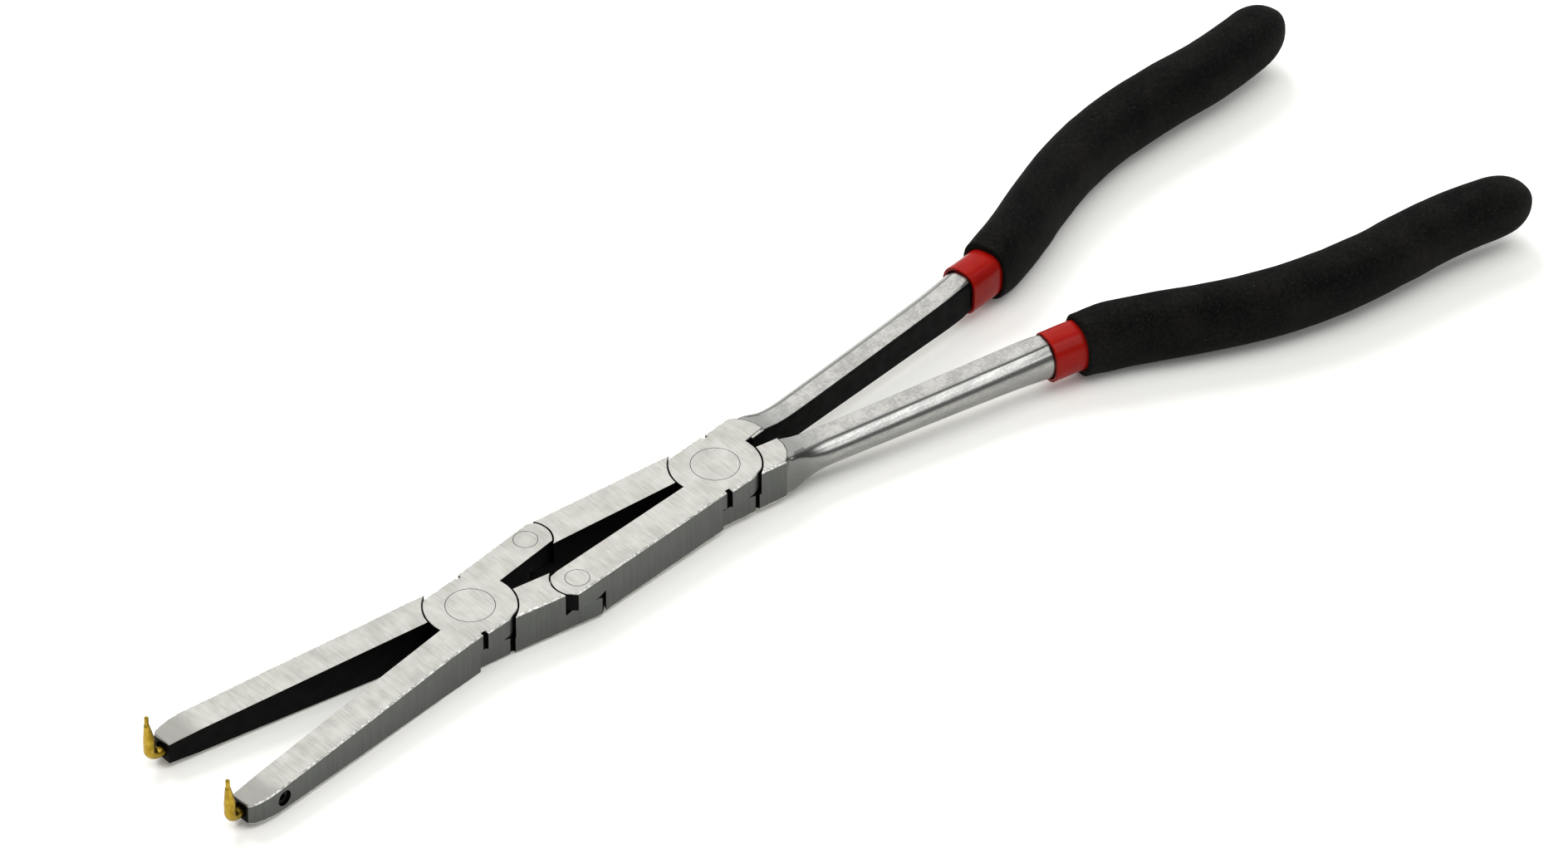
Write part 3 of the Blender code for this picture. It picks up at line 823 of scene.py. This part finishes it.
def moulded_red():
    look = Nodes("moulded_red")
    cloud = look.noise(2.5, 3.0)
    colour = look.mix(look.range(cloud, 0.3, 0.7), (0.25, 0.005, 0.0028), (0.275, 0.006, 0.0032))
    look.feed(look.shader, Base_Color=colour, Roughness=look.range(cloud, 0.3, 0.7, 0.27, 0.24))
    look.bump(look.noise(0.9, 2.0), 0.02, 0.02)
    return look.finish(Metallic=0.0, Specular_IOR_Level=0.1)


def black_foam():
    """Closed-cell foam: a black skin with a fine open texture and scattered pale specks."""
    look = Nodes("black_foam")
    cells = look.noise(0.4, 4.0, 0.7)
    grain = look.noise(1.1, 3.0, 0.6, 6.0)
    patch = look.noise(12.0, 2.0, 0.5, 9.0)
    marks = look.sum((cells, 0.45), (grain, 0.3), (patch, 0.25))
    base = look.mix(look.range(marks, 0.4, 0.62), (0.0012, 0.0014, 0.0014), (0.0082, 0.0077, 0.007))
    speck = look.range(look.noise(0.5, 2.0, 0.6, 12.0), 0.66, 0.76)
    look.feed(look.shader, Base_Color=look.mix(speck, base, (0.045, 0.04, 0.035)))
    look.bump(look.sum((cells, 0.6), (grain, 0.6)), 0.9, 0.16)
    return look.finish(Metallic=0.0, Roughness=0.95, Specular_IOR_Level=0.06, Sheen_Weight=0.02,
                       Sheen_Roughness=0.6)


def screw_black():
    look = Nodes("screw_black")
    cloud = look.noise(1.2, 3.0)
    look.feed(look.shader, Base_Color=look.mix(cloud, (0.006, 0.006, 0.006), (0.02, 0.02, 0.02)),
              Roughness=look.range(cloud, 0.3, 0.7, 0.4, 0.55))
    return look.finish(Metallic=0.6, Specular_IOR_Level=0.3)


# The tops' last argument paints shade over the jaws' thinned ends.
TOP = ground_steel("ground_top", (0.57, 0.56, 0.515), (0.77, 0.76, 0.71), 0.4, (6.0, 0.22, 6.0), blotch=0.7,
                   bump=0.03, jaw_end_shade=0.84)
# The side steel is the ground steel painted dark: painted shade for the dark that the outer walls reflect.
SHADED_SIDE = ground_steel("ground_side_painted_shade", (0.105, 0.109, 0.104), (0.121, 0.126, 0.12), 0.42, (1.0, 0.28, 10.0),
                    bump=0.03)
OXIDE = black_oxide()
EDGE = worn_edge_and_highlight()
SHAFT = shaft_steel()
FLAT = shaft_flat()
GOLD = plated_gold()
RED = moulded_red()
FOAM = black_foam()
SCREW = screw_black()

STEEL = [TOP, SHADED_SIDE, OXIDE, EDGE, SHAFT, FLAT]


# Which finish each face of a link has; the _UP values are how much of a face's normal is vertical

WALL_UP = 0.2
EDGE_SIDEWAYS = 0.2
GROUND_UP = 0.95
GROUND_DEPTH = 0.4
SHAFT_START = 12.5
SHAFT_START_X = -2.0
BLOCK_TOP_UP = 0.97
BLOCK_TOP_DEPTH = 0.1
SHAFT_FLAT_UP = 0.968
SHAFT_INNER_UP = 0.6
SHAFT_INNER_SIDEWAYS = 0.75


def plate_finish(normal, place, half):
    """The finish of a face of a flat link, from its direction and place in the link's own axes."""
    up = abs(normal.z)
    if up <= WALL_UP:
        # Outer walls take the side steel, whose dark colour is painted shade.
        return SHADED_SIDE if outside(normal, place) else OXIDE
    if abs(place.z) <= half - GROUND_DEPTH:
        return OXIDE
    if up > GROUND_UP:
        return TOP
    # Outer chamfers take the worn edge steel, whose bright colour is partly painted highlight.
    over_outside = abs(normal.x) > EDGE_SIDEWAYS and outside((math.copysign(1, normal.x), 0), place)
    return EDGE if over_outside or outside(normal, place) else TOP


def jaw_finish(normal, place):
    return plate_finish(normal, place, jaw_half(place.y))


def handle_finish(normal, place):
    """The finish of a face of a handle: flat in front, then a shaft with a dark inner side."""
    if place.y < SHAFT_START or (place.x > SHAFT_START_X and place.y < BLOCK_END + 1):
        return plate_finish(normal, place, HALF)
    up = abs(normal.z)
    if place.y < BLOCK_END + 0.05 and up > BLOCK_TOP_UP and abs(place.z) > HALF - BLOCK_TOP_DEPTH:
        return TOP
    _, outward = across(place.y)
    if Vector(normal[:2]).dot(outward) < -SHAFT_INNER_SIDEWAYS and up < SHAFT_INNER_UP:
        return OXIDE
    return FLAT if up > SHAFT_FLAT_UP else SHAFT


def finished(mesh, finish_of):
    for look in STEEL:
        mesh.materials.append(look)
    for face in mesh.polygons:
        face.material_index = STEEL.index(finish_of(face.normal, face.center / MM))
    return mesh


# Pieces


def piece(name, mesh, node, look=None, matrix=None, sharp=50):
    """A shown piece that stands for a CAD node and rides on its body."""
    if look:
        mesh.materials.append(look)
    if matrix:
        mesh.transform(matrix)
    mesh.shade_smooth()
    mesh.set_sharp_from_angle(angle=math.radians(sharp))
    made = bpy.data.objects.new(name, mesh)
    SCENE.collection.objects.link(made)
    body = frame["nodes"][node]["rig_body"]
    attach(made, body)
    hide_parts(node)
    return made


def weigh_normals(obj):
    weigh = obj.modifiers.new("weighted_normals", "WEIGHTED_NORMAL")
    weigh.keep_sharp = True
    weigh.weight = 80


def build_tool():
    jaw, screw, tip = jaw_mesh(), screw_mesh(), tip_mesh()
    finished(jaw, jaw_finish)
    for side, name, clearance in ((1, "upper", PIN_CLEARANCE), (-1, "lower", OPEN_LINK_CLEARANCE)):
        over = Matrix.Rotation(math.pi, 4, "Y") if side < 0 else Matrix.Identity(4)
        at_front, at_rear = (Matrix.Translation(axis * MM) @ over for axis in (FRONT, REAR))
        weigh_normals(piece(f"fine_jaw_{name}", jaw.copy(), f"jaw_{name}", matrix=at_front))
        piece(f"fine_set_screw_{name}", screw.copy(), f"set_screw_{name}", SCREW, at_front, 30)
        turn = Matrix.Rotation(side * math.atan(BORE_SLOPE), 4, "Z")
        place = Matrix.Translation(Vector((side * TIP_X, FRONT.y - JAW_REACH, HALF)) * MM)
        piece(f"fine_tip_{name}", tip.copy(), f"tip_{name}", GOLD, place @ turn, 40)
        handle = finished(handle_mesh(side, clearance), handle_finish)
        weigh_normals(piece(f"fine_handle_{name}", handle, f"handle_{name}", matrix=at_rear))
        piece(f"fine_grip_liner_{name}", liner_mesh(side), f"grip_liner_{name}", RED, at_rear)
        grip = lumpy(grip_mesh(side), side)
        foam = piece(f"fine_grip_{name}", grip, f"grip_{name}", FOAM, at_rear)
    for node, radius in (("front_pivot_pin", PIN_R), ("rear_pivot_pin", PIN_R),
                         ("link_pin_far", LINK_PIN_R), ("link_pin_near", LINK_PIN_R)):
        pin = finished(pin_mesh(radius), lambda normal, place: TOP if abs(normal.z) > 0.9 else OXIDE)
        piece(f"fine_{node}", pin, node, matrix=Matrix.Translation(axis_of(node) * MM), sharp=30)


# Floor, light and camera

FLOOR_TILT = math.radians(1.0)
FLOOR_TOUCH_Y = -92.0
FLOOR_DROP = 0.05
FLOOR_SIZE = 4.0

# The world's soft lights, as (direction, cosine where each starts, cosine where it is full, strength)
WORLD_LIGHTS = [
    ((-0.62, 0.52, 0.6), 0.78, 0.95, 0.95),
    ((0.36, 0.4, 0.84), 0.955, 0.99, 3.4),
    ((0.72, 0.3, 0.6), 0.965, 0.992, 2.6),
]
WORLD_DIM = 0.22


def build_floor():
    """A plain white floor that the front pivot and the grips rest on."""
    bm = bmesh.new()
    bmesh.ops.create_grid(bm, x_segments=2, y_segments=2, size=FLOOR_SIZE)
    mesh = mesh_from(bm, "floor")
    look = Nodes("floor_white")
    look.finish(Base_Color=(0.86, 0.856, 0.825, 1), Roughness=1.0, Specular_IOR_Level=0.0,
                Emission_Color=(1, 1, 0.975, 1), Emission_Strength=0.06)
    mesh.materials.append(look.material)
    floor = bpy.data.objects.new("floor", mesh)
    floor.location = (0, FLOOR_TOUCH_Y * MM, -FLOOR_DROP * MM)
    floor.rotation_euler = (-FLOOR_TILT, 0, 0)
    SCENE.collection.objects.link(floor)


def build_world():
    """A dim room with three soft lights: a broad one beyond the far handle, two small ones to the right."""
    world = bpy.data.worlds.new("studio")
    SCENE.world = world
    world.use_nodes = True
    tree = world.node_tree
    direction = tree.nodes.new("ShaderNodeTexCoord").outputs["Generated"]
    total = None
    for aim, edge, full, strength in WORLD_LIGHTS:
        dot = tree.nodes.new("ShaderNodeVectorMath")
        dot.operation = "DOT_PRODUCT"
        tree.links.new(direction, dot.inputs[0])
        dot.inputs[1].default_value = Vector(aim).normalized()
        fall = tree.nodes.new("ShaderNodeMapRange")
        fall.interpolation_type = "SMOOTHSTEP"
        tree.links.new(dot.outputs["Value"], fall.inputs[0])
        for index, value in ((1, edge), (2, full), (3, 0.0), (4, strength)):
            fall.inputs[index].default_value = value
        add = tree.nodes.new("ShaderNodeMath")
        add.operation = "ADD"
        tree.links.new(fall.outputs[0], add.inputs[0])
        if total is None:
            add.inputs[1].default_value = WORLD_DIM
        else:
            tree.links.new(total, add.inputs[1])
        total = add.outputs[0]
    background = tree.nodes["Background"]
    background.inputs["Color"].default_value = (1, 1, 1, 1)
    tree.links.new(total, background.inputs["Strength"])


def area_light(name, place, aim, size, power):
    data = bpy.data.lights.new(name, "AREA")
    data.shape = "DISK"
    data.size = size
    data.energy = power
    lamp = bpy.data.objects.new(name, data)
    lamp.location = place
    lamp.rotation_mode = "QUATERNION"
    lamp.rotation_quaternion = (Vector(aim) - Vector(place)).to_track_quat("-Z", "Y")
    lamp.visible_glossy = False
    SCENE.collection.objects.link(lamp)


def build_lights():
    origin = (0, 0, 0)
    area_light("key", (-1.5, 0.55, 1.5), origin, 1.3, 34)
    area_light("fill", (0.3, -0.2, 2.4), origin, 2.6, 38)


def build_camera():
    data = bpy.data.cameras.new("camera")
    data.sensor_width = 36.0
    data.lens = 282.9
    data.clip_start, data.clip_end = 0.1, 20.0
    camera = bpy.data.objects.new("camera", data)
    camera.location = (1.7451, -1.5416, 1.9799)
    camera.rotation_mode = "QUATERNION"
    camera.rotation_quaternion = Vector((-0.5701, 0.5111, -0.6433)).to_track_quat("-Z", "Y")
    SCENE.collection.objects.link(camera)
    SCENE.camera = camera


build_tool()
build_floor()
build_world()
build_lights()
build_camera()
